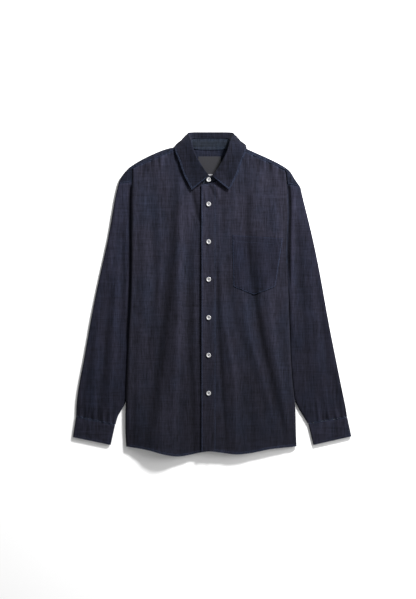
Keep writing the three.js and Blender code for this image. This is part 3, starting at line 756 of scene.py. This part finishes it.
# how far its free edge springs up, and how far it is pulled in where it bends at each side
leaf_lift, leaf_pull = 3.6, 2.4
leaf_bends = [(-1, (-93, 371)), (1, (84, 371))]
stand_lines = [
    [(-46, 382.5), (37, 382.5)],
    [(-42, 366.5), (34, 366.5)],
]
first_button = (-9, 284.4)
stand_denim = denim("denim_stand", (0.0083, 0.0103, 0.015))
stand = fine_copy("collar_stand", 3)
sew_down(stand, stand_lines, 0.5, pucker=0.2)
trims = [
    stitch(stand, stand_lines, "stand_stitches"),
    buttonholes(stand, [first_button], "stand_buttonhole", upright=False),
]
flat, area = (0.36, 0.028), 0.0085
finish_cloth(
    stand, stand_denim, "collar_stand"
)
collar_denim = denim("denim_collar", (0.0047, 0.005, 0.0089), 0.3, slub=1.3)
leaf = fine_copy("collar", 3)
places = points_of(leaf)
rims = [[(collar_middle + hand * out, y) for out, y in leaf_edge[:-1]] for hand in (-1, 1)]
springy = step(26, 0, away_from(rims, places)) * step(13, 14.2, places[:, 2])
places[:, 2] += leaf_lift * springy
for hand, bend in leaf_bends:
    places[:, 0] -= leaf_pull * hand * close_to(places, bend, 7)
move_to(leaf, places)
sew_down(leaf, leaf_lines, 12.0, pucker=0.25)
trims = [stitch(leaf, leaf_lines, "collar_stitches", pitch=2.9)]
flat, area = (0.44, 0.06), 0.021
finish_cloth(leaf, collar_denim, "collar")
# its free edge is worn, and its fold round the neck isn't
keep_values(leaf, "edge", 0.9 * np.exp(-away_from(rims, places) / 1.6))

# The label is a bare piece of grey satin with a plain woven bar, caught down at its
# corners inside the back neck.
satin = Dye("label_satin")
thread_place = satin.add("TexCoord", output=3)
across = satin.add("Mapping", {}, {"Vector": thread_place, "Scale": (60, 2400, 60)})
floats = satin.add("TexNoise", {}, {"Vector": across, "Scale": 1.0, "Detail": 2.0})
satin_grey = (0.0102, 0.0102, 0.0136)
satin_threads = {0: satin_grey, "Scale": 0.6 + 0.8 * floats}
satin_tint = satin.add("VectorMath", {"operation": "SCALE"}, satin_threads)
satin_bump = satin.add("Bump", {}, {"Height": floats, "Strength": 0.2, "Distance": 0.0002})
satin.set(Base_Color=satin_tint, Roughness=0.45, Specular_IOR_Level=0.4, Normal=satin_bump)
woven = Dye("label_bar")
woven.set(Base_Color=(0.26, 0.26, 0.27, 1), Roughness=0.5)
bar_middle, bar_size, bar_lift = (-6.6, 297.5), (26, 3.2), 0.12
label = fine_copy("label", 2)
label_face = surface_of(label)
bar = bmesh.new()
bmesh.ops.create_grid(bar, x_segments=24, y_segments=4, size=0.5)
for corner in bar.verts:
    x = bar_middle[0] + bar_size[0] * corner.co.x
    y = bar_middle[1] + bar_size[1] * corner.co.y
    corner.co = Vector((x, y, height(label_face, x, y) + bar_lift)) * MM
bar_mesh = bpy.data.meshes.new("label_bar")
bar.to_mesh(bar_mesh)
bar.free()
bar_mesh.materials.append(woven.material)
label_bar = bpy.data.objects.new("label_bar", bar_mesh)
bpy.context.scene.collection.objects.link(label_bar)
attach(label_bar, "root")
tack = 2.2
tacks = [[(x - tack, y), (x + tack, y)] for x in (-31.5, 18.2) for y in (342, 290.8)]
trims = [label_bar, stitch(label, tacks, "label_stitches", pitch=1.1)]
flat = (0.056, 0.055)
finish_cloth(label, satin.material, "label")

# The seven buttons are turned from grey shell, with a raised rim, a dished middle and four
# holes. Crossed indigo thread holds each a little above the cloth.
shell = Dye("button_shell")
grain_place = shell.add("TexCoord", output=3)
growth = shell.add("TexNoise", {}, {"Vector": grain_place, "Scale": 260.0, "Detail": 5.0})
veins = shell.add(
    "TexWave", {}, {"Vector": grain_place, "Scale": 90.0, "Distortion": 9.0, "Detail": 3.0}
)
layers = {0: (0.32, 0.32, 0.32), "Scale": 0.62 + 0.42 * growth + 0.22 * veins}
pearl = shell.add("VectorMath", {"operation": "SCALE"}, layers)
shell.set(Base_Color=pearl, Roughness=0.28, Coat_Weight=0.35, Coat_Roughness=0.1)
# radius and height of the button's section, outwards from the middle, top first
section = [
    (0.05, 1.25), (2.6, 1.25), (3.3, 1.4), (3.75, 2.0), (4.2, 2.35), (4.8, 2.4), (5.35, 2.15),
    (5.75, 1.65), (5.8, 1.2), (5.5, 0.7), (4.4, 0.15), (2.5, 0.0), (0.05, 0.0),
]
hole_spread, hole_radius, strand_radius = 1.25, 0.62, 0.2
# how far it stands off the cloth, how far each is turned from the last, and the first one's tilt
button_lift, button_turn, first_tilt = 0.75, 11, 9


def turned(profile, segments):
    """A section spun round the Z axis and closed at both ends."""
    work = bmesh.new()
    ring = [work.verts.new((r * MM, 0, z * MM)) for r, z in profile]
    edges = [work.edges.new(pair) for pair in zip(ring[:-1], ring[1:])]
    bmesh.ops.spin(
        work,
        geom=ring + edges,
        axis=(0, 0, 1),
        cent=(0, 0, 0),
        angle=2 * math.pi,
        steps=segments,
        use_merge=True,
    )
    bmesh.ops.remove_doubles(work, verts=work.verts, dist=1e-6)
    for end in (profile[0][1], profile[-1][1]):
        near_axis = [v for v in work.verts if v.co.xy.length < 0.2 * MM]
        hub = [v for v in near_axis if abs(v.co.z - end * MM) < 1e-6]
        bmesh.ops.contextual_create(work, geom=hub)
    bmesh.ops.recalc_face_normals(work, faces=work.faces)
    return work


disc = turned(section, 48)
disc_mesh = bpy.data.meshes.new("button_disc")
disc.to_mesh(disc_mesh)
disc.free()
blank = bpy.data.objects.new("button_blank", disc_mesh)
drills = bmesh.new()
for dx, dy in ((1, 1), (1, -1), (-1, 1), (-1, -1)):
    place = Matrix.Translation(Vector((dx * hole_spread, dy * hole_spread, 1)) * MM)
    bmesh.ops.create_cone(
        drills,
        cap_ends=True,
        segments=16,
        radius1=hole_radius * MM,
        radius2=hole_radius * MM,
        depth=5 * MM,
        matrix=place,
    )
drill_mesh = bpy.data.meshes.new("button_drill")
drills.to_mesh(drill_mesh)
drills.free()
drill = bpy.data.objects.new("button_drill", drill_mesh)
for thing in (blank, drill):
    bpy.context.scene.collection.objects.link(thing)
cut = blank.modifiers.new("holes", "BOOLEAN")
cut.object = drill
drilled = bpy.data.meshes.new_from_object(
    blank.evaluated_get(bpy.context.evaluated_depsgraph_get())
)
for thing in (blank, drill):
    bpy.data.objects.remove(thing)
placket_face = surface_of(placket)
stand_face = surface_of(stand)
button_places = [(*first_button, stand_face, first_tilt)]
button_places += [(x, y, placket_face, 0) for x, y in button_spots]
under_button = [(dx, dy) for dx in (-4, 0, 4) for dy in (-4, 0, 4)]
for number, (x, y, face, tilt) in enumerate(button_places, 1):
    ground = max((height(face, x + dx, y + dy) or 0) for dx, dy in under_button)
    seat = Matrix.Translation(Vector((x, y, ground + button_lift)) * MM)
    seat = seat @ Matrix.Rotation(math.radians(-tilt), 4, "X")
    seat = seat @ Matrix.Rotation(math.radians(button_turn * number), 4, "Z")
    mesh = drilled.copy()
    mesh.transform(seat)
    mesh.shade_smooth()
    mesh.set_sharp_from_angle(angle=math.radians(50))
    mesh.materials.clear()
    mesh.materials.append(shell.material)
    button = bpy.data.objects.new(f"shell_button_{number}", mesh)
    bpy.context.scene.collection.objects.link(button)
    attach(button, "root")
    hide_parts(f"button_{number}")
    work = bmesh.new()
    for first, second in (((1, 1), (-1, -1)), ((1, -1), (-1, 1))):
        for beside in (-strand_radius, strand_radius):
            strand = []
            for k in range(9):
                t = k / 8
                flat = Vector(first).lerp(Vector(second), t) * hole_spread
                rise = 1.0 + 0.75 * math.sin(math.pi * t) ** 0.5
                strand.append(Vector((flat.x + beside, flat.y, rise)))
            below = [Vector((p.x, p.y, 0.6)) for p in strand[::-1]]
            sweep(work, strand + below, lambda k: strand_radius)
    bmesh.ops.recalc_face_normals(work, faces=work.faces)
    bmesh.ops.transform(work, matrix=seat, verts=work.verts)
    mesh = bpy.data.meshes.new(f"button_thread_{number}")
    work.to_mesh(mesh)
    work.free()
    mesh.materials.append(cotton.material)
    thread = bpy.data.objects.new(mesh.name, mesh)
    bpy.context.scene.collection.objects.link(thread)
    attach(thread, "root")

# The floor is white paper, lit by a lamp from the upper right, a broad soft light from the
# right and pale walls.
bpy.ops.mesh.primitive_plane_add(size=8)
floor = bpy.context.object
floor.name = "floor"
paper = Dye("paper")
paper.set(Base_Color=(0.88, 0.88, 0.88, 1), Roughness=1.0, Specular_IOR_Level=0.0)
floor.data.materials.append(paper.material)
world = bpy.data.worlds.new("studio")
bpy.context.scene.world = world
world.use_nodes = True
walls = world.node_tree.nodes["Background"].inputs
walls["Color"].default_value = (1, 1, 1, 1)
walls["Strength"].default_value = 0.42


def disk_lamp(name, size, energy, reach, elevation, toward):
    data = bpy.data.lights.new(name, "AREA")
    data.shape = "DISK"
    data.size = size
    data.energy = energy
    lamp = bpy.data.objects.new(name, data)
    flat = Vector((*toward, 0)).normalized() * reach * math.cos(math.radians(elevation))
    lamp.location = flat + Vector((0, 0, reach * math.sin(math.radians(elevation))))
    lamp.rotation_euler = (-lamp.location).to_track_quat("-Z", "Y").to_euler()
    bpy.context.scene.collection.objects.link(lamp)


disk_lamp("key", 0.42, 112, 2.1, 32, (3.0, 4.4))
disk_lamp("fill", 1.7, 52, 3.0, 27, (1, 0.2))
bpy.context.scene.view_settings.view_transform = "Standard"

# The camera looks straight down, far enough away for the edges to stay upright.
photo_pixels = (416, 599)
mm_per_pixel = 2.5
frame_centre = (-10.5 * MM, -13.9 * MM)
camera_height = 4.5
camera_data = bpy.data.cameras.new("camera")
camera_data.sensor_fit = "VERTICAL"
camera_data.sensor_height = 24
camera_data.lens = 24 * camera_height / (photo_pixels[1] * mm_per_pixel * MM)
camera = bpy.data.objects.new("camera", camera_data)
camera.location = (*frame_centre, camera_height)
bpy.context.scene.collection.objects.link(camera)
bpy.context.scene.camera = camera
